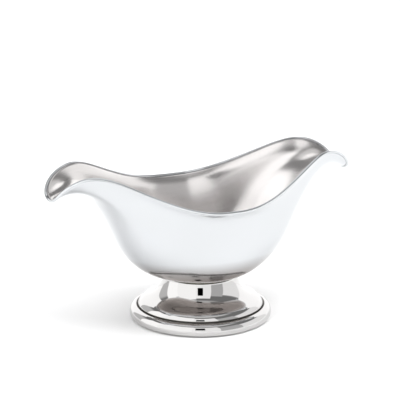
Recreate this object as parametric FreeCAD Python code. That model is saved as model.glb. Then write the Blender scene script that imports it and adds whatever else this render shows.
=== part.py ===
import FreeCAD, Part
import math
import os

# Footed gravy boat with two pouring lips, in millimetres.
# +Z up, +X along the length (lip to lip), origin on the table under the
# centre of the foot.  One quarter of the bowl is described by a control net
# and mirrored in the planes X = 0 and Y = 0.

os.makedirs("parts", exist_ok=True)
V = FreeCAD.Vector

# ---------------------------------------------------------------- dimensions
sheet_t = 1.0            # thickness of the bowl sheet
wire_d = 2.0             # diameter of the reinforcing wire round the rim
spin_t = 1.0             # thickness of the foot spinning
pad_z = 31.0             # underside of the flat bottom of the bowl
pad_r = 16.35            # radius of the flat pad in the middle of the bottom
braze_gap = 0.5          # height of the braze seam between foot and bowl
braze_r_in = 21.5        # inner radius of the braze seam
braze_r_out = 26.0       # outer radius of the braze seam
land_r_in = 20.0         # inner radius of the land on top of the foot
fit_gap = 0.01           # clearance between touching faces

# Outer profile of the foot spinning, (radius, height), from the top land
# down the waist and over the shoulder to the groove.
foot_profile = [
    (25.20, 30.50), (25.30, 29.30), (25.55, 28.30), (26.20, 26.20),
    (27.20, 23.70), (28.35, 21.65), (30.05, 19.45), (32.70, 17.10),
    (35.80, 15.35), (38.70, 14.05), (41.05, 12.60), (42.50, 10.90),
    (43.14, 9.45), (43.23, 8.54),
]
# Bead moulding at the edge of the foot, outside the groove.
bead_outer = [
    (43.24, 8.54), (44.85, 8.72), (46.50, 8.17), (47.95, 6.90),
    (48.78, 5.09), (49.05, 3.27), (48.60, 1.54), (47.70, 0.45), (46.80, 0.0),
]
bead_t = 1.0             # thickness of the rolled bead sheet
bead_foot_r_in = 41.8    # inner radius of the flat ring the boat stands on

# Control net of the outer skin, one quarter: from the side (X = 0) to the
# lip (Y = 0), bottom row first.
n_quarter = 8
net_quarter = [
    # bottom pad
    [(0.00, 16.46, 31.00), (3.21, 16.14, 31.00), (6.30, 15.20, 31.00), (9.14, 13.68, 31.00), (11.64, 11.64, 31.00), (13.68, 9.14, 31.00), (15.20, 6.30, 31.00), (16.14, 3.21, 31.00), (16.46, 0.00, 31.00)],
    # bottom
    [(0.00, 30.66, 31.00), (6.46, 30.07, 31.00), (12.68, 28.33, 31.00), (18.41, 25.50, 31.00), (23.43, 21.69, 31.00), (27.55, 17.05, 31.00), (30.61, 11.75, 31.00), (32.49, 5.99, 31.00), (33.13, 0.00, 31.00)],
    # lower turn
    [(0.00, 36.86, 36.15), (9.38, 36.15, 36.46), (18.33, 34.01, 37.20), (26.85, 30.50, 37.99), (35.03, 25.91, 38.65), (42.36, 20.53, 39.27), (47.90, 14.43, 39.97), (51.11, 7.54, 40.62), (52.11, 0.00, 40.89)],
    # lower wall
    [(0.00, 43.15, 46.66), (12.19, 42.22, 47.41), (24.12, 39.76, 49.38), (35.45, 36.26, 52.00), (45.61, 31.59, 54.88), (53.83, 25.25, 57.85), (59.49, 17.33, 60.68), (62.55, 8.68, 62.84), (63.47, 0.00, 63.66)],
    # upper wall
    [(0.00, 44.50, 59.75), (15.12, 43.79, 60.85), (29.11, 41.30, 63.69), (41.97, 37.07, 67.64), (53.08, 31.87, 72.47), (61.46, 25.36, 77.74), (67.61, 16.84, 82.36), (72.21, 7.88, 85.34), (74.12, 0.00, 86.32)],
    # wall below the crease
    [(0.00, 47.34, 72.50), (16.96, 46.21, 74.00), (32.67, 42.38, 77.82), (47.75, 36.69, 82.86), (61.41, 30.87, 88.45), (71.96, 24.67, 93.79), (79.68, 16.34, 97.53), (85.32, 7.39, 99.23), (87.63, 0.00, 99.62)],
    # crease under the turned-out edge
    [(0.00, 50.35, 82.13), (15.57, 49.58, 82.86), (33.27, 44.72, 86.88), (53.07, 35.76, 95.08), (69.80, 27.59, 102.97), (82.48, 21.41, 106.33), (93.52, 16.01, 104.56), (99.71, 9.43, 99.78), (100.83, 0.00, 97.30)],
    # turned-out edge
    [(0.00, 53.16, 85.57), (14.91, 52.62, 85.83), (33.87, 47.27, 89.98), (56.31, 36.83, 99.91), (74.53, 27.58, 109.04), (88.00, 21.27, 111.07), (100.19, 16.75, 106.00), (106.23, 10.81, 98.11), (106.63, 0.00, 94.24)],
    # rim wire centre
    [(0.00, 54.35, 86.96), (14.58, 53.91, 86.99), (34.10, 48.36, 91.20), (57.69, 37.27, 101.90), (76.53, 27.57, 111.61), (90.26, 21.26, 113.11), (102.98, 17.16, 106.56), (108.97, 11.47, 97.22), (109.05, 0.00, 92.71)],
]
# heights of the rows' knots; the last two make the short turned-out edge
net_rise_knots = [0.25, 0.5, 0.75, 0.91, 0.965]

n_round = 96             # stations round the bowl in the skins
n_rise = 19              # control rows from bottom to rim in the skins
n_tube = 12              # control points round the wire


# ------------------------------------------------------------- spline basics
def full_rows(rows):
    """Mirror each quarter row into a closed row of 4 * n_quarter points."""
    out = []
    for row in rows:
        q = list(row)
        k = n_quarter
        loop = [q[k - i] for i in range(k + 1)]                 # +X lip to +Y side
        loop += [(-q[i][0], q[i][1], q[i][2]) for i in range(1, k + 1)]
        loop += [(-q[k - i][0], -q[k - i][1], q[k - i][2]) for i in range(1, k + 1)]
        loop += [(q[i][0], -q[i][1], q[i][2]) for i in range(1, k)]
        out.append(loop)
    return out


def ring_basis(t):
    """Uniform cubic weights and their derivative for one span."""
    b = ((1 - t) ** 3 / 6.0, (3 * t ** 3 - 6 * t * t + 4) / 6.0,
         (-3 * t ** 3 + 3 * t * t + 3 * t + 1) / 6.0, t ** 3 / 6.0)
    d = (-(1 - t) ** 2 / 2.0, (3 * t * t - 4 * t) / 2.0,
         (-3 * t * t + 2 * t + 1) / 2.0, t * t / 2.0)
    return b, d


def clamped_knots(n):
    inner = n - 4
    return [0.0] * 4 + [(i + 1.0) / (inner + 1) for i in range(inner)] + [1.0] * 4


def basis_all(knots, n, v):
    """All n cubic basis values and derivatives at v (Cox-de Boor)."""
    def level(p, vv):
        N = [0.0] * (len(knots) - 1)
        for i in range(len(knots) - 1):
            if knots[i] <= vv < knots[i + 1] or (vv >= 1.0 and knots[i] < knots[i + 1] == 1.0):
                N[i] = 1.0
        for q in range(1, p + 1):
            M = [0.0] * (len(knots) - 1 - q)
            for i in range(len(M)):
                a = knots[i + q] - knots[i]
                b = knots[i + q + 1] - knots[i + 1]
                s = 0.0
                if a > 0:
                    s += (vv - knots[i]) / a * N[i]
                if b > 0:
                    s += (knots[i + q + 1] - vv) / b * N[i + 1]
                M[i] = s
            N = M
        return N
    N3 = level(3, v)
    N2 = level(2, v)
    D = []
    for i in range(n):
        a = knots[i + 3] - knots[i]
        b = knots[i + 4] - knots[i + 1]
        s = 0.0
        if a > 0:
            s += 3.0 / a * N2[i]
        if b > 0:
            s -= 3.0 / b * N2[i + 1]
        D.append(s)
    return N3[:n], D


NET = full_rows(net_quarter)
N_AROUND = len(NET[0])
N_ROWS = len(NET)
NET_KNOTS = [0.0] * 4 + net_rise_knots + [1.0] * 4


def skin(u, v):
    """Point, unit tangent up the wall and unit outward normal of the skin.

    u runs 0..1 round the bowl from the +X lip, v runs 0..1 bottom to rim.
    """
    s = (u % 1.0) * N_AROUND
    i = int(math.floor(s))
    b, db = ring_basis(s - i)
    bv, dv = basis_all(NET_KNOTS, N_ROWS, v)
    p = [0.0, 0.0, 0.0]
    pu = [0.0, 0.0, 0.0]
    pv = [0.0, 0.0, 0.0]
    for r in range(N_ROWS):
        if bv[r] == 0.0 and dv[r] == 0.0:
            continue
        row = NET[r]
        for a in range(4):
            q = row[(i - 1 + a) % N_AROUND]
            for c in range(3):
                p[c] += bv[r] * b[a] * q[c]
                pu[c] += bv[r] * db[a] * q[c]
                pv[c] += dv[r] * b[a] * q[c]
    P = V(*p)
    U = V(*pu)
    W = V(*pv)
    n = U.cross(W)
    n.normalize()
    W.normalize()
    return P, W, n


def solve(A, B):
    """Gaussian elimination; B is a list of 3-vectors as lists."""
    n = len(A)
    A = [list(r) for r in A]
    B = [list(r) for r in B]
    for i in range(n):
        m = max(range(i, n), key=lambda r: abs(A[r][i]))
        A[i], A[m] = A[m], A[i]
        B[i], B[m] = B[m], B[i]
        for r in range(i + 1, n):
            f = A[r][i] / A[i][i]
            if f == 0.0:
                continue
            for c in range(i, n):
                A[r][c] -= f * A[i][c]
            for c in range(3):
                B[r][c] -= f * B[i][c]
    X = [None] * n
    for i in range(n - 1, -1, -1):
        row = list(B[i])
        for c in range(i + 1, n):
            if A[i][c]:
                for k in range(3):
                    row[k] -= A[i][c] * X[c][k]
        X[i] = [v / A[i][i] for v in row]
    return X


def closed_poles(Q):
    """Poles of the uniform periodic cubic through the points Q."""
    n = len(Q)
    P = [list(q) for q in Q]
    for _ in range(60):
        for i in range(n):
            a = P[(i - 1) % n]
            b = P[(i + 1) % n]
            P[i] = [(6 * Q[i][c] - a[c] - b[c]) / 4.0 for c in range(3)]
    return P


def rise_poles(Q, knots, grev):
    n = len(Q)
    A = [basis_all(knots, n, g)[0] for g in grev]
    return solve(A, Q)


def closed_surface(grid, clamped):
    """B-spline surface through grid[row][station], closed round each row.

    clamped rows run bottom to rim; otherwise the rows close as well.
    """
    rows = [closed_poles(r) for r in grid]
    n_u = len(rows[0])
    n_v = len(rows)
    if clamped:
        kn = clamped_knots(n_v)
        gr = [(kn[i + 1] + kn[i + 2] + kn[i + 3]) / 3.0 for i in range(n_v)]
        A = [basis_all(kn, n_v, g)[0] for g in gr]
        cols = [solve(A, [rows[r][i] for r in range(n_v)]) for i in range(n_u)]
        poles = [[V(*cols[i][r]) for r in range(n_v)] for i in range(n_u)]
        vk = [0.0] + kn[4:-4] + [1.0]
        vm = [4] + [1] * len(kn[4:-4]) + [4]
        per = False
    else:
        cols = [closed_poles([rows[r][i] for r in range(n_v)]) for i in range(n_u)]
        poles = [[V(*cols[i][r]) for r in range(n_v)] for i in range(n_u)]
        vk = [i / float(n_v) for i in range(n_v + 1)]
        vm = [1] * (n_v + 1)
        per = True
    uk = [i / float(n_u) for i in range(n_u + 1)]
    um = [1] * (n_u + 1)
    s = Part.BSplineSurface()
    s.buildFromPolesMultsKnots(poles, um, vm, uk, vk, True, per, 3, 3)
    return s


def sewn(faces, name):
    shell = Part.makeShell(faces)
    if len(faces) > 1:
        shell.sewShape()
        if shell.ShapeType != "Shell":
            shell = shell.Shells[0]
    solid = Part.makeSolid(shell)
    if solid.Volume < 0:
        solid.reverse()
    print(name, "valid", solid.isValid(), "volume", round(solid.Volume, 1),
          "box", [round(x, 2) for x in (solid.BoundBox.XLength,
                                        solid.BoundBox.YLength,
                                        solid.BoundBox.ZLength)])
    return solid


# ------------------------------------------------------------------ the bowl
def edge_end(u):
    """v where the skin ends, one wire radius short of the wire centre."""
    P1 = skin(u, 1.0)[0]
    lo, hi = 0.6, 1.0
    for _ in range(30):
        m = 0.5 * (lo + hi)
        if (skin(u, m)[0] - P1).Length > wire_d / 2.0:
            lo = m
        else:
            hi = m
    return 0.5 * (lo + hi)


kn = clamped_knots(n_rise)
greville = [(kn[i + 1] + kn[i + 2] + kn[i + 3]) / 3.0 for i in range(n_rise)]

outer_grid = [[None] * n_round for _ in range(n_rise)]
inner_grid = [[None] * n_round for _ in range(n_rise)]
rim_mid = []
rim_up = []
rim_out = []
for j in range(n_round):
    u = j / float(n_round)
    ve = edge_end(u)
    for i in range(n_rise):
        P, W, n = skin(u, greville[i] * ve)
        if i == 0:
            n = V(0, 0, -1)
        outer_grid[i][j] = [P.x, P.y, P.z]
        Q = P - n * sheet_t
        inner_grid[i][j] = [Q.x, Q.y, Q.z]
    P, W, n = skin(u, ve)
    rim_mid.append(P - n * (sheet_t / 2.0))
    rim_up.append(W)
    rim_out.append(n)

outer_skin = closed_surface(outer_grid, True)
inner_skin = closed_surface(inner_grid, True)
outer_face = outer_skin.toShape()
inner_face = inner_skin.toShape()


out_top = outer_skin.vIso(1.0)
in_top = inner_skin.vIso(1.0)
out_bot = outer_skin.vIso(0.0)
in_bot = inner_skin.vIso(0.0)
edge_strip = Part.makeRuledSurface(out_top.toShape(), in_top.toShape())
pad_under = Part.Face(Part.Wire([out_bot.toShape()]))
pad_inside = Part.Face(Part.Wire([in_bot.toShape()]))
bowl_body = sewn([outer_face, inner_face, edge_strip, pad_under, pad_inside], "bowl_body")

# ------------------------------------------------------------- the rim wire
tube_grid = []
for a in range(n_tube):
    ang = 2.0 * math.pi * a / n_tube
    row = []
    for j in range(n_round):
        r = wire_d / 2.0
        c = rim_mid[j] + rim_up[j] * (r + fit_gap)
        q = c + rim_out[j] * (r * math.cos(ang)) + rim_up[j] * (r * math.sin(ang))
        row.append([q.x, q.y, q.z])
    tube_grid.append(row)
wire_surface = closed_surface(tube_grid, False)
rim_wire = sewn([wire_surface.toShape()], "rim_wire")


# ------------------------------------------------------------------ the foot
def spline_edge(pts):
    c = Part.BSplineCurve()
    c.interpolate([V(r, 0, z) for r, z in pts])
    return c.toShape()


def line_edge(a, b):
    return Part.LineSegment(V(a[0], 0, a[1]), V(b[0], 0, b[1])).toShape()


def offset_inward(pts, t):
    """Same profile moved by t to the inside of the spinning."""
    out = []
    for i, (r, z) in enumerate(pts):
        a = pts[max(i - 1, 0)]
        b = pts[min(i + 1, len(pts) - 1)]
        dx, dz = b[0] - a[0], b[1] - a[1]
        m = math.hypot(dx, dz)
        out.append((r + dz / m * t, z - dx / m * t))
    return out


def turned(edges, name):
    w = Part.Wire(Part.__sortEdges__(edges))
    f = Part.Face(w)
    s = f.revolve(V(0, 0, 0), V(0, 0, 1), 360)
    if s.ShapeType != "Solid":
        s = s.Solids[0]
    if s.Volume < 0:
        s.reverse()
    print(name, "valid", s.isValid(), "volume", round(s.Volume, 1))
    return s


top_z = pad_z - braze_gap
inner_profile = offset_inward(foot_profile, spin_t)
inner_profile[0] = (inner_profile[1][0] - 0.05, top_z - spin_t)
inner_profile = [inner_profile[0]] + inner_profile[2:]
last_r, last_z = foot_profile[-1]
inner_profile[-1] = (last_r - spin_t, last_z - 0.2)
skirt_z = bead_t + fit_gap   # the spinning runs down inside the bead to its flange
foot_spinning = turned([
    spline_edge(foot_profile),
    line_edge(foot_profile[-1], (last_r, skirt_z)),
    line_edge((last_r, skirt_z), (last_r - spin_t, skirt_z)),
    line_edge((last_r - spin_t, skirt_z), inner_profile[-1]),
    spline_edge(inner_profile),
    line_edge(inner_profile[0], (land_r_in, top_z - spin_t)),
    line_edge((land_r_in, top_z - spin_t), (land_r_in, top_z)),
    line_edge((land_r_in, top_z), foot_profile[0]),
], "foot_spinning")

# The bead is a rolled half-round moulding: its sheet turns under and makes
# the flat ring the boat stands on.
bead_in = last_r + fit_gap
bead_profile = [(bead_in, last_z)] + bead_outer[1:]
bead_inner = offset_inward(bead_profile, bead_t)
bead_inner = [(bead_in, last_z - bead_t)] + bead_inner[1:-2]
bead_inner.append((bead_outer[-1][0] - 1.2, bead_t))
foot_bead = turned([
    spline_edge(bead_profile),
    line_edge(bead_profile[-1], (bead_foot_r_in, 0.0)),
    line_edge((bead_foot_r_in, 0.0), (bead_foot_r_in, bead_t)),
    line_edge((bead_foot_r_in, bead_t), bead_inner[-1]),
    spline_edge(bead_inner),
    line_edge(bead_inner[0], bead_profile[0]),
], "foot_bead")

# ------------------------------------------------------------ the braze seam
def skin_z_at(r):
    """Lowest underside of the bowl over the circle of radius r."""
    low = 1e9
    for j in range(32):
        u = j / 32.0
        lo, hi = 0.0, 0.6
        for _ in range(30):
            m = 0.5 * (lo + hi)
            P = skin(u, m)[0]
            if math.hypot(P.x, P.y) < r:
                lo = m
            else:
                hi = m
        low = min(low, skin(u, lo)[0].z)
    return low


seam_top_in = skin_z_at(braze_r_in) - fit_gap
seam_top_out = skin_z_at(braze_r_out) - fit_gap
print("bowl underside over the seam", round(seam_top_in, 3), round(seam_top_out, 3))
g = fit_gap
braze_seam = turned([
    line_edge((braze_r_in, top_z + g), (25.15, top_z + g)),
    spline_edge([(25.15, top_z + g), (25.32, top_z + 0.30), (braze_r_out, seam_top_out)]),
    line_edge((braze_r_out, seam_top_out), (braze_r_in, seam_top_in)),
    line_edge((braze_r_in, seam_top_in), (braze_r_in, top_z + g)),
], "braze_seam")

parts = {
    "bowl_body": bowl_body,
    "rim_wire": rim_wire,
    "foot_spinning": foot_spinning,
    "foot_bead": foot_bead,
    "braze_seam": braze_seam,
}
for name, shape in parts.items():
    shape.exportStep("parts/%s.step" % name)
    b = shape.BoundBox
    print(name, [round(x, 2) for x in (b.XMin, b.YMin, b.ZMin, b.XMax, b.YMax, b.ZMax)])
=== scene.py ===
import math

import bpy
import numpy as np
from mathutils import Matrix, Vector


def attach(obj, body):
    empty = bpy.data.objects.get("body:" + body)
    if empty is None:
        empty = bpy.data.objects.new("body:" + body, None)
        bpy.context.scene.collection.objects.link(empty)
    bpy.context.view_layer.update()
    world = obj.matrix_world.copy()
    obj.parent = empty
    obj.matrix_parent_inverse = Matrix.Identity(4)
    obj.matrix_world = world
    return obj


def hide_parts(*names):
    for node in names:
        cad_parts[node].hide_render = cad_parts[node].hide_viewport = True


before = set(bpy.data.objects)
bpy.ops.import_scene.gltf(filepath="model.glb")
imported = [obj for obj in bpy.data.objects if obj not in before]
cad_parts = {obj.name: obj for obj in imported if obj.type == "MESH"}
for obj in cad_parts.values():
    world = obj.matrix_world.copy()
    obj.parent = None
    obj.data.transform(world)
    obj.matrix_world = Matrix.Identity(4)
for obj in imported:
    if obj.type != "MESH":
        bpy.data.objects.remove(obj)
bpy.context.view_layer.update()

# ------------------------------------------------------------------ numbers
# All lengths here are in millimetres and are turned into metres by MM.
MM = 0.001
SHEET_T = 1.0
WIRE_D = 2.0
NET = [
    [(0.00, 16.46, 31.00), (3.21, 16.14, 31.00), (6.30, 15.20, 31.00), (9.14, 13.68, 31.00), (11.64, 11.64, 31.00), (13.68, 9.14, 31.00), (15.20, 6.30, 31.00), (16.14, 3.21, 31.00), (16.46, 0.00, 31.00)],
    [(0.00, 30.66, 31.00), (6.46, 30.07, 31.00), (12.68, 28.33, 31.00), (18.41, 25.50, 31.00), (23.43, 21.69, 31.00), (27.55, 17.05, 31.00), (30.61, 11.75, 31.00), (32.49, 5.99, 31.00), (33.13, 0.00, 31.00)],
    [(0.00, 36.86, 36.15), (9.38, 36.15, 36.46), (18.33, 34.01, 37.20), (26.85, 30.50, 37.99), (35.03, 25.91, 38.65), (42.36, 20.53, 39.27), (47.90, 14.43, 39.97), (51.11, 7.54, 40.62), (52.11, 0.00, 40.89)],
    [(0.00, 43.15, 46.66), (12.19, 42.22, 47.41), (24.12, 39.76, 49.38), (35.45, 36.26, 52.00), (45.61, 31.59, 54.88), (53.83, 25.25, 57.85), (59.49, 17.33, 60.68), (62.55, 8.68, 62.84), (63.47, 0.00, 63.66)],
    [(0.00, 44.50, 59.75), (15.12, 43.79, 60.85), (29.11, 41.30, 63.69), (41.97, 37.07, 67.64), (53.08, 31.87, 72.47), (61.46, 25.36, 77.74), (67.61, 16.84, 82.36), (72.21, 7.88, 85.34), (74.12, 0.00, 86.32)],
    [(0.00, 47.34, 72.50), (16.96, 46.21, 74.00), (32.67, 42.38, 77.82), (47.75, 36.69, 82.86), (61.41, 30.87, 88.45), (71.96, 24.67, 93.79), (79.68, 16.34, 97.53), (85.32, 7.39, 99.23), (87.63, 0.00, 99.62)],
    [(0.00, 50.35, 82.13), (15.57, 49.58, 82.86), (33.27, 44.72, 86.88), (53.07, 35.76, 95.08), (69.80, 27.59, 102.97), (82.48, 21.41, 106.33), (93.52, 16.01, 104.56), (99.71, 9.43, 99.78), (100.83, 0.00, 97.30)],
    [(0.00, 53.16, 85.57), (14.91, 52.62, 85.83), (33.87, 47.27, 89.98), (56.31, 36.83, 99.91), (74.53, 27.58, 109.04), (88.00, 21.27, 111.07), (100.19, 16.75, 106.00), (106.23, 10.81, 98.11), (106.63, 0.00, 94.24)],
    [(0.00, 54.35, 86.96), (14.58, 53.91, 86.99), (34.10, 48.36, 91.20), (57.69, 37.27, 101.90), (76.53, 27.57, 111.61), (90.26, 21.26, 113.11), (102.98, 17.16, 106.56), (108.97, 11.47, 97.22), (109.05, 0.00, 92.71)],
]
FOOT_PROFILE = [
    (25.20, 30.50), (25.30, 29.30), (25.55, 28.30), (26.20, 26.20),
    (27.20, 23.70), (28.35, 21.65), (30.05, 19.45), (32.70, 17.10),
    (35.80, 15.35), (38.70, 14.05), (41.05, 12.60), (42.50, 10.90),
    (43.14, 9.45), (43.23, 8.54),
]
BEAD_OUTER = [
    (43.24, 8.54), (44.85, 8.72), (46.50, 8.17), (47.95, 6.90),
    (48.78, 5.09), (49.05, 3.27), (48.60, 1.54), (47.70, 0.45), (46.80, 0.0),
]


# ------------------------------------------------------------ spline helpers
def full_rows(rows):
    k = len(rows[0]) - 1
    out = []
    for q in rows:
        loop = [q[k - i] for i in range(k + 1)]
        loop += [(-q[i][0], q[i][1], q[i][2]) for i in range(1, k + 1)]
        loop += [(-q[k - i][0], -q[k - i][1], q[k - i][2]) for i in range(1, k + 1)]
        loop += [(q[i][0], -q[i][1], q[i][2]) for i in range(1, k)]
        out.append(loop)
    return np.array(out, float)


NETA = full_rows(NET)
N_ROWS, N_AROUND = NETA.shape[:2]


def u_weights(u):
    """Rows of uniform periodic cubic weights and of their derivatives."""
    u = np.atleast_1d(u) % 1.0
    s = u * N_AROUND
    i = np.floor(s).astype(int)
    t = s - i
    b = [(1 - t) ** 3 / 6, (3 * t ** 3 - 6 * t * t + 4) / 6,
         (-3 * t ** 3 + 3 * t * t + 3 * t + 1) / 6, t ** 3 / 6]
    d = [-(1 - t) ** 2 / 2, (3 * t * t - 4 * t) / 2,
         (-3 * t * t + 2 * t + 1) / 2, t * t / 2]
    B = np.zeros((len(u), N_AROUND))
    D = np.zeros((len(u), N_AROUND))
    r = np.arange(len(u))
    for a in range(4):
        np.add.at(B, (r, (i - 1 + a) % N_AROUND), b[a])
        np.add.at(D, (r, (i - 1 + a) % N_AROUND), d[a] * N_AROUND)
    return B, D


KNOTS = [0.0] * 4 + [0.25, 0.5, 0.75, 0.91, 0.965] + [1.0] * 4


def v_weights(v):
    v = np.clip(np.atleast_1d(v).astype(float), 0, 1)

    def level(p):
        N = np.zeros((len(v), len(KNOTS) - 1))
        for i in range(len(KNOTS) - 1):
            last = KNOTS[i] < KNOTS[i + 1] == 1.0
            N[:, i] = (v >= KNOTS[i]) & ((v < KNOTS[i + 1]) | (last & (v >= 1.0)))
        for q in range(1, p + 1):
            M = np.zeros((len(v), len(KNOTS) - 1 - q))
            for i in range(M.shape[1]):
                a = KNOTS[i + q] - KNOTS[i]
                b = KNOTS[i + q + 1] - KNOTS[i + 1]
                if a > 0:
                    M[:, i] += (v - KNOTS[i]) / a * N[:, i]
                if b > 0:
                    M[:, i] += (KNOTS[i + q + 1] - v) / b * N[:, i + 1]
            N = M
        return N

    N3, N2 = level(3), level(2)
    D = np.zeros_like(N3)
    for i in range(N_ROWS):
        a = KNOTS[i + 3] - KNOTS[i]
        b = KNOTS[i + 4] - KNOTS[i + 1]
        if a > 0:
            D[:, i] += 3 / a * N2[:, i]
        if b > 0:
            D[:, i] -= 3 / b * N2[:, i + 1]
    return N3[:, :N_ROWS], D


def unit(a):
    return a / (np.linalg.norm(a, axis=-1, keepdims=True) + 1e-15)


def skin(u, v):
    """u (n), v (m, n): points, unit tangents up the wall, outward normals."""
    B, D = u_weights(u)
    P = np.zeros(v.shape + (3,))
    W = np.zeros_like(P)
    N = np.zeros_like(P)
    for j in range(v.shape[0]):
        bv, dv = v_weights(v[j])
        rows = np.einsum("nr,rac->nac", bv, NETA)
        rowsv = np.einsum("nr,rac->nac", dv, NETA)
        P[j] = np.einsum("na,nac->nc", B, rows)
        pu = np.einsum("na,nac->nc", D, rows)
        pv = np.einsum("na,nac->nc", B, rowsv)
        N[j] = unit(np.cross(pu, pv))
        W[j] = unit(pv)
    return P, W, N


def smooth_curve(pts, n):
    """Natural-looking cubic through pts, n samples even in length."""
    pts = np.array(pts, float)
    s = np.concatenate([[0], np.cumsum(np.linalg.norm(np.diff(pts, axis=0), axis=1))])
    m = len(pts)
    A = np.zeros((m, m))
    R = np.zeros((m, 2))
    h = np.diff(s)
    A[0, 0] = A[-1, -1] = 1
    for i in range(1, m - 1):
        A[i, i - 1] = h[i - 1]
        A[i, i] = 2 * (h[i - 1] + h[i])
        A[i, i + 1] = h[i]
        R[i] = 6 * ((pts[i + 1] - pts[i]) / h[i] - (pts[i] - pts[i - 1]) / h[i - 1])
    M = np.linalg.solve(A, R)
    t = np.linspace(0, s[-1], n)
    k = np.clip(np.searchsorted(s, t) - 1, 0, m - 2)
    hh = h[k][:, None]
    a = ((s[k + 1] - t) / h[k])[:, None]
    b = 1 - a
    return (a * pts[k] + b * pts[k + 1]
            + ((a ** 3 - a) * M[k] + (b ** 3 - b) * M[k + 1]) * hh * hh / 6)


# -------------------------------------------------------------- mesh helpers
def grid_mesh(name, rings, close_v=False, mats=(), mat_of=None, caps=False, smooth=True):
    """Mesh from rings[m][n][3] (mm), closed round n; close_v joins last to first."""
    m, n = rings.shape[:2]
    verts = (rings.reshape(-1, 3) * MM).tolist()
    faces = []
    idx = []
    last = m if close_v else m - 1
    for j in range(last):
        a = j * n
        b = ((j + 1) % m) * n
        for i in range(n):
            i2 = (i + 1) % n
            faces.append((a + i, a + i2, b + i2, b + i))
            idx.append(mat_of(j) if mat_of else 0)
    if caps:
        for ring, flip, mt in ((0, True, 0), (m - 1, False, len(mats) - 1)):
            c = len(verts)
            verts.append((rings[ring].mean(axis=0) * MM).tolist())
            for i in range(n):
                p, q = ring * n + i, ring * n + (i + 1) % n
                faces.append((q, p, c) if flip else (p, q, c))
                idx.append(mt)
    me = bpy.data.meshes.new(name)
    me.from_pydata(verts, [], faces)
    me.polygons.foreach_set("material_index", idx)
    me.polygons.foreach_set("use_smooth", [smooth] * len(faces))
    for mt in mats:
        me.materials.append(mt)
    me.update()
    ob = bpy.data.objects.new(name, me)
    bpy.context.scene.collection.objects.link(ob)
    return ob


def disc_rings(ring, steps):
    """Rings shrinking from a planar ring to near its centre."""
    c = ring.mean(axis=0)
    return [c + (ring - c) * f for f in steps]


def lathe(name, profile, n=360, mats=(), mat_of=None):
    prof = np.array(profile, float)
    a = np.linspace(0, 2 * math.pi, n, endpoint=False)
    rings = np.zeros((len(prof), n, 3))
    rings[..., 0] = prof[:, 0][:, None] * np.cos(a)
    rings[..., 1] = prof[:, 0][:, None] * np.sin(a)
    rings[..., 2] = prof[:, 1][:, None]
    return grid_mesh(name, rings, close_v=True, mats=mats, mat_of=mat_of)


# ------------------------------------------------------------------ materials
def metal(name, colour, rough, detail=None):
    m = bpy.data.materials.new(name)
    m.use_nodes = True
    nt = m.node_tree
    b = nt.nodes["Principled BSDF"]
    b.inputs["Base Color"].default_value = (*colour, 1)
    b.inputs["Metallic"].default_value = 1.0
    b.inputs["Roughness"].default_value = rough
    if detail:
        detail(nt, b)
    return m


def noise(nt, scale, detail=3.0, rough=0.5, vec=None, stretch=None):
    tc = nt.nodes.new("ShaderNodeTexCoord")
    out = tc.outputs["Object"]
    if stretch is not None:
        mp = nt.nodes.new("ShaderNodeMapping")
        mp.inputs["Scale"].default_value = stretch
        nt.links.new(out, mp.inputs["Vector"])
        out = mp.outputs["Vector"]
    n = nt.nodes.new("ShaderNodeTexNoise")
    n.inputs["Scale"].default_value = scale
    n.inputs["Detail"].default_value = detail
    n.inputs["Roughness"].default_value = rough
    nt.links.new(out, n.inputs["Vector"])
    return n


def ranged(nt, socket, lo, hi, a=0.3, b=0.7):
    r = nt.nodes.new("ShaderNodeMapRange")
    r.inputs["From Min"].default_value = a
    r.inputs["From Max"].default_value = b
    r.inputs["To Min"].default_value = lo
    r.inputs["To Max"].default_value = hi
    nt.links.new(socket, r.inputs["Value"])
    return r.outputs["Result"]


def polish(lo, hi, tint=0.02):
    """Buffed steel: slow cloudy change of gloss and a trace of colour change."""
    def f(nt, b):
        n = noise(nt, 45.0, 4.0)
        nt.links.new(ranged(nt, n.outputs["Fac"], lo, hi), b.inputs["Roughness"])
        n2 = noise(nt, 18.0, 3.0)
        c = b.inputs["Base Color"].default_value[:]
        mix = nt.nodes.new("ShaderNodeMix")
        mix.data_type = "RGBA"
        mix.inputs["A"].default_value = (c[0] * (1 - tint), c[1] * (1 - tint), c[2] * (1 - tint * 1.5), 1)
        mix.inputs["B"].default_value = c
        nt.links.new(ranged(nt, n2.outputs["Fac"], 0.0, 1.0), mix.inputs["Factor"])
        nt.links.new(mix.outputs["Result"], b.inputs["Base Color"])
    return f


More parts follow.
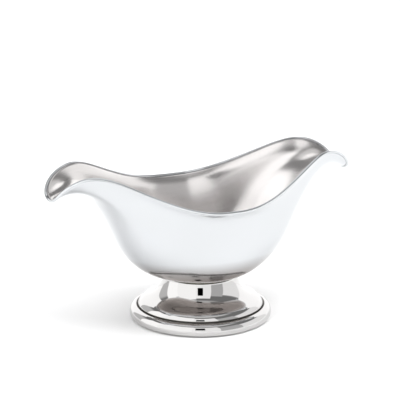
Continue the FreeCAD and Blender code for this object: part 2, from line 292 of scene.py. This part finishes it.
def brushed(lo, hi, aniso, streak=0.06, bump=0.12):
    """Satin steel brushed round the wall: fine lines run along the UV map's u."""
    def f(nt, b):
        uv = nt.nodes.new("ShaderNodeUVMap")
        uv.uv_map = "wall"
        mp = nt.nodes.new("ShaderNodeMapping")
        mp.inputs["Scale"].default_value = (6.0, 520.0, 1.0)
        nt.links.new(uv.outputs["UV"], mp.inputs["Vector"])
        n = nt.nodes.new("ShaderNodeTexNoise")
        n.inputs["Scale"].default_value = 4.0
        n.inputs["Detail"].default_value = 4.0
        n.inputs["Roughness"].default_value = 0.6
        nt.links.new(mp.outputs["Vector"], n.inputs["Vector"])
        nt.links.new(ranged(nt, n.outputs["Fac"], lo, hi), b.inputs["Roughness"])
        n2 = noise(nt, 30.0, 3.0)
        add = nt.nodes.new("ShaderNodeMath")
        add.operation = "MULTIPLY_ADD"
        add.inputs[1].default_value = 0.6
        nt.links.new(n.outputs["Fac"], add.inputs[0])
        half = nt.nodes.new("ShaderNodeMath")
        half.operation = "MULTIPLY"
        half.inputs[1].default_value = 0.4
        nt.links.new(n2.outputs["Fac"], half.inputs[0])
        nt.links.new(half.outputs[0], add.inputs[2])
        c = b.inputs["Base Color"].default_value[:]
        mix = nt.nodes.new("ShaderNodeMix")
        mix.data_type = "RGBA"
        mix.inputs["A"].default_value = (c[0] * (1 - streak), c[1] * (1 - streak * 1.1), c[2] * (1 - streak * 1.2), 1)
        mix.inputs["B"].default_value = (c[0] * (1 + streak), c[1] * (1 + streak), c[2] * (1 + streak), 1)
        nt.links.new(ranged(nt, add.outputs[0], 0.0, 1.0), mix.inputs["Factor"])
        nt.links.new(mix.outputs["Result"], b.inputs["Base Color"])
        bp = nt.nodes.new("ShaderNodeBump")
        bp.inputs["Strength"].default_value = bump
        bp.inputs["Distance"].default_value = 0.00005
        nt.links.new(n.outputs["Fac"], bp.inputs["Height"])
        nt.links.new(bp.outputs["Normal"], b.inputs["Normal"])
        tg = nt.nodes.new("ShaderNodeTangent")
        tg.direction_type = "UV_MAP"
        tg.uv_map = "wall"
        nt.links.new(tg.outputs["Tangent"], b.inputs["Tangent"])
        b.inputs["Anisotropic"].default_value = aniso
        b.inputs["Anisotropic Rotation"].default_value = 0.25
    return f


def polish_with_low_painted_shade(lo, hi):
    """The outside polish, with painted shade low down: below 50 mm the base colour fades to a dark brown-grey, painted
    in for the dark reflection of the foot and floor under the bowl.
    """
    def f(nt, b):
        polish(lo, hi)(nt, b)
        col = b.inputs["Base Color"].links[0].from_socket
        tc = nt.nodes.new("ShaderNodeTexCoord")
        ax = nt.nodes.new("ShaderNodeSeparateXYZ")
        nt.links.new(tc.outputs["Object"], ax.inputs["Vector"])
        # Painted shade: this height mask darkens the outside colour below 50 mm, fully dark brown-grey below 36 mm.
        up = ranged(nt, ax.outputs["Z"], 0.0, 1.0, 0.036, 0.050)
        painted_low_shade = nt.nodes.new("ShaderNodeMix")
        painted_low_shade.data_type = "RGBA"
        painted_low_shade.inputs["A"].default_value = (0.30, 0.27, 0.255, 1)
        nt.links.new(col, painted_low_shade.inputs["B"])
        nt.links.new(up, painted_low_shade.inputs["Factor"])
        nt.links.new(painted_low_shade.outputs["Result"], b.inputs["Base Color"])
    return f


# The outside steel carries painted shade low down on the bowl, near the foot.
MIRROR = metal("polished_outside", (0.64, 0.655, 0.675), 0.06, polish_with_low_painted_shade(0.10, 0.14))
INSIDE = metal("satin_inside", (0.72, 0.70, 0.695), 0.22, brushed(0.19, 0.26, 0.75))
RIM = metal("polished_rim", (0.64, 0.655, 0.675), 0.05, polish(0.04, 0.08))
FOOT = metal("polished_foot", (0.60, 0.592, 0.59), 0.03, polish(0.02, 0.04))
UNDER = metal("foot_inside", (0.52, 0.51, 0.50), 0.3, polish(0.28, 0.40, 0.10))
# Near-black material painted as shade into crevices: the joint at the top of the foot's neck and the groove where the
# foot meets the bead.
CREVICE_SHADE = metal("painted_crevice_shade", (0.10, 0.095, 0.09), 0.4, polish(0.35, 0.5, 0.2))
BRAZE = metal("braze_metal", (0.48, 0.46, 0.42), 0.3, polish(0.25, 0.45, 0.15))

# ------------------------------------------------------------------- the bowl
N_U = 480
N_V = 150
u = np.arange(N_U) / N_U
P1, _, _ = skin(u, np.ones((1, N_U)))
lo = np.full(N_U, 0.6)
hi = np.ones(N_U)
for _ in range(26):
    mid = 0.5 * (lo + hi)
    P, _, _ = skin(u, mid[None, :])
    far = np.linalg.norm(P[0] - P1[0], axis=1) > WIRE_D / 2
    lo = np.where(far, mid, lo)
    hi = np.where(far, hi, mid)
v_end = 0.5 * (lo + hi)
vv = np.linspace(0, 1, N_V)[:, None] * v_end[None, :]
P, W, N = skin(u, vv)
N[0] = (0, 0, -1)
outer = P
inner = P - N * SHEET_T
mid_top = P[-1] - N[-1] * (SHEET_T / 2)

steps = (0.02, 0.25, 0.5, 0.75)
rings = disc_rings(outer[0], steps) + list(outer) + list(inner[::-1]) + disc_rings(inner[0], steps[::-1])
rings = np.array(rings)
n_out = len(steps) + N_V
bowl = grid_mesh("bowl", rings, caps=True, mats=(MIRROR, INSIDE),
                 mat_of=lambda j: 0 if j < n_out else 1)

wall = bowl.data.uv_layers.new(name="wall")
n_quads = (len(rings) - 1) * N_U
ku = np.zeros(len(bowl.data.loops), int)
bowl.data.loops.foreach_get("vertex_index", ku)
col = ku % N_U
row = ku // N_U
face = np.concatenate([np.repeat(np.arange(n_quads), 4), np.repeat(np.arange(2 * N_U), 3)])
col = np.where((face % N_U == N_U - 1) & (col == 0), N_U, col)
uv = np.stack([col / N_U * 0.55, np.where(row < n_out, row, 2 * n_out - row) / N_V * 0.1], 1)
wall.data.foreach_set("uv", uv.ravel())

# --------------------------------------------------------------- the rim wire
a = np.linspace(0, 2 * math.pi, 24, endpoint=False)
c = mid_top + W[-1] * (WIRE_D / 2)
tube = np.array([c + N[-1] * (WIRE_D / 2 * math.cos(t)) + W[-1] * (WIRE_D / 2 * math.sin(t)) for t in a])
rim = grid_mesh("rim_bead", tube, close_v=True, mats=(RIM,))

# ------------------------------------------------------------------- the foot
outer_p = smooth_curve(FOOT_PROFILE, 90)
d = np.gradient(outer_p, axis=0)
d /= np.linalg.norm(d, axis=1)[:, None]
inner_p = outer_p + np.stack([d[:, 1], -d[:, 0]], 1) * 1.0
inner_p = inner_p[4:-2]
land = [(20.0, 30.5)]
prof = land + outer_p.tolist() + [(43.23, 1.01), (42.23, 1.01)] + inner_p[::-1].tolist() + [(24.2, 29.5), (20.0, 29.5)]
n_shine = 1 + len(outer_p)


def foot_mat(j):
    """Painted shade (a near-black material) in the two crevices, polish outside, dull metal inside."""
    if j < 3 or n_shine - 4 <= j < n_shine:
        return 2
    return 0 if j < n_shine else 1


foot = lathe("foot_pedestal", prof, mats=(FOOT, UNDER, CREVICE_SHADE), mat_of=foot_mat)

bo = smooth_curve(BEAD_OUTER, 60)
d = np.gradient(bo, axis=0)
d /= np.linalg.norm(d, axis=1)[:, None]
bi = bo + np.stack([d[:, 1], -d[:, 0]], 1) * 1.0
bi = bi[6:-9]
prof = bo.tolist() + [(41.8, 0.0), (41.8, 1.0), (45.4, 1.0)] + bi[::-1].tolist() + [(43.24, 7.54)]
n_bead = len(bo) + 1
# The first profile steps of the bead, in the groove, carry the painted crevice shade.
bead = lathe("foot_bead_ring", prof, mats=(FOOT, UNDER, CREVICE_SHADE),
             mat_of=lambda j: 2 if j < 5 else 0 if j < n_bead else 1)

prof = smooth_curve([(25.15, 30.51), (25.32, 30.80), (26.0, 31.10)], 12).tolist() + [(21.5, 31.0), (21.5, 30.51)]
braze = lathe("braze_fillet", prof, mats=(BRAZE,))

for piece, node, slot in ((bowl, "bowl_body", "bowl_steel"), (rim, "rim_wire", "rim_steel"),
                          (foot, "foot_spinning", "foot_steel"), (bead, "foot_bead", "bead_steel"),
                          (braze, "braze_seam", "braze")):
    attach(piece, "root")
    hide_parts(node)

# ----------------------------------------------------------------- the stage
def plane(name, loc, normal, w, h, mat, camera=True):
    me = bpy.data.meshes.new(name)
    me.from_pydata([(-w / 2, -h / 2, 0), (w / 2, -h / 2, 0), (w / 2, h / 2, 0), (-w / 2, h / 2, 0)], [], [(0, 1, 2, 3)])
    me.materials.append(mat)
    ob = bpy.data.objects.new(name, me)
    ob.location = loc
    ob.rotation_mode = "QUATERNION"
    ob.rotation_quaternion = Vector(normal).to_track_quat("Z", "Y")
    bpy.context.scene.collection.objects.link(ob)
    ob.visible_camera = camera
    return ob


def plain(name, colour, rough=0.9):
    m = bpy.data.materials.new(name)
    m.use_nodes = True
    b = m.node_tree.nodes["Principled BSDF"]
    b.inputs["Base Color"].default_value = (*colour, 1)
    b.inputs["Roughness"].default_value = rough
    return m


n_f = 96
fv = [(1.15 * math.cos(2 * math.pi * i / n_f), 1.15 * math.sin(2 * math.pi * i / n_f), -0.0002) for i in range(n_f)]
fm = bpy.data.meshes.new("floor")
fm.from_pydata(fv, [], [tuple(range(n_f))])
fm.materials.append(plain("floor_paper", (0.9, 0.9, 0.9)))
floor = bpy.data.objects.new("floor", fm)
bpy.context.scene.collection.objects.link(floor)


def glow(name, strength, colour=(1, 1, 1)):
    m = bpy.data.materials.new(name)
    m.use_nodes = True
    b = m.node_tree.nodes["Principled BSDF"]
    b.inputs["Base Color"].default_value = (0, 0, 0, 1)
    b.inputs["Specular IOR Level"].default_value = 0
    b.inputs["Emission Color"].default_value = (*colour, 1)
    b.inputs["Emission Strength"].default_value = strength
    return m


def screen(name, az0, az1, el0, el1, strength, radius=1.2, colour=(1, 1, 1)):
    """A curved studio screen round the object; azimuth 0 is in front (-Y), 90 is +X."""
    n = max(2, int(abs(az1 - az0) / 4))
    k = max(2, int(abs(el1 - el0) / 4))
    vs, fs = [], []
    for j in range(k + 1):
        e = math.radians(el0 + (el1 - el0) * j / k)
        for i in range(n + 1):
            t = math.radians(az0 + (az1 - az0) * i / n)
            vs.append((radius * math.cos(e) * math.sin(t), -radius * math.cos(e) * math.cos(t), 0.02 + radius * math.sin(e)))
    for j in range(k):
        for i in range(n):
            p = j * (n + 1) + i
            fs.append((p, p + 1, p + n + 2, p + n + 1))
    me = bpy.data.meshes.new(name)
    me.from_pydata(vs, [], fs)
    me.materials.append(glow(name, strength, colour))
    ob = bpy.data.objects.new(name, me)
    bpy.context.scene.collection.objects.link(ob)
    ob.visible_camera = False
    return ob


SCREENS = (
    # name, azimuth from, to, elevation from, to, strength
    ("screen_left", 264, 322, -1, 54, 1.5),
    ("screen_left_front", 322, 336, -1, 50, 1.4),
    ("screen_front", 336, 368, -1, 50, 1.3),
    ("screen_right", 46, 104, -1, 34, 1.2),
    ("screen_back_right", 104, 200, -1, 40, 1.5),
    ("screen_back_left", 228, 264, -1, 44, 1.6),
    ("screen_over_back", 110, 200, 62, 84, 1.5),
)
for args in SCREENS:
    screen(*args)
screen("lens_hood", 327.4, 343.4, 15, 38, 0.0, radius=1.0)
screen("screen_gap", 8, 46, 5, 40, 0.62, radius=1.1)


def area(name, loc, size, power, target=(0, 0, 0.05), colour=(1, 1, 1)):
    d = bpy.data.lights.new(name, "AREA")
    d.shape = "DISK"
    d.size = size
    d.energy = power
    d.color = colour
    o = bpy.data.objects.new(name, d)
    o.location = loc
    o.rotation_mode = "QUATERNION"
    o.rotation_quaternion = (Vector(loc) - Vector(target)).to_track_quat("Z", "Y")
    o.visible_glossy = False
    o.visible_camera = False
    bpy.context.scene.collection.objects.link(o)
    return o


area("key_light", (0.55, -0.6, 1.2), 0.9, 10.5)
area("top_light", (0.0, 0.0, 1.6), 1.8, 12.5)


world = bpy.data.worlds.new("studio")
world.use_nodes = True
wt = world.node_tree
bg = wt.nodes["Background"]
bg.inputs["Color"].default_value = (1, 1, 1, 1)
path = wt.nodes.new("ShaderNodeLightPath")
level = wt.nodes.new("ShaderNodeMapRange")
level.inputs["To Max"].default_value = 1.1
where = wt.nodes.new("ShaderNodeTexCoord")
axes = wt.nodes.new("ShaderNodeSeparateXYZ")
rise = wt.nodes.new("ShaderNodeValToRGB")
rise.color_ramp.interpolation = "EASE"
ramp = rise.color_ramp.elements
ramp[0].position, ramp[1].position = 0.50, 0.64
for e, g in ((ramp[0], 0.75), (ramp[1], 0.24), (ramp.new(0.84), 0.24), (ramp.new(0.93), 0.8)):
    e.color = (g, g, g, 1)
wt.links.new(where.outputs["Generated"], axes.inputs["Vector"])
wt.links.new(axes.outputs["Z"], rise.inputs["Fac"])
wt.links.new(rise.outputs["Color"], level.inputs["To Min"])
wt.links.new(path.outputs["Is Camera Ray"], level.inputs["Value"])
wt.links.new(level.outputs["Result"], bg.inputs["Strength"])
bpy.context.scene.world = world

# ---------------------------------------------------------------- the camera
K = 218.0 / 240.0
AZ, EL = math.radians(-24.55), math.radians(16.87)
DIST = 1486.0 * K * MM
LENS = 1966.4 / 400.0 * 36.0
TX, TY = math.radians(-0.01), math.radians(1.14)
back = Vector((math.sin(AZ) * math.cos(EL), -math.cos(AZ) * math.cos(EL), math.sin(EL)))
loc = Vector((0, 0, 60.0 * K * MM)) + back * DIST
fwd = -back
right = Vector((math.cos(AZ), math.sin(AZ), 0))
fwd = (fwd + math.tan(TX) * right).normalized()
right = fwd.cross(Vector((0, 0, 1))).normalized()
up = right.cross(fwd)
fwd = fwd * math.cos(TY) + up * math.sin(TY)
right = fwd.cross(Vector((0, 0, 1))).normalized()
up = right.cross(fwd)
rot = Matrix((right, up, -fwd)).transposed().to_quaternion()
cam_data = bpy.data.cameras.new("camera")
cam_data.lens = LENS
cam_data.sensor_width = 36.0
cam_data.sensor_fit = "HORIZONTAL"
cam = bpy.data.objects.new("camera", cam_data)
cam.location = loc
cam.rotation_mode = "QUATERNION"
cam.rotation_quaternion = rot
cam_data.clip_start = 0.01
cam_data.clip_end = 100
bpy.context.scene.collection.objects.link(cam)
bpy.context.scene.camera = cam

sc = bpy.context.scene
sc.view_settings.view_transform = "Standard"
sc.view_settings.look = "None"
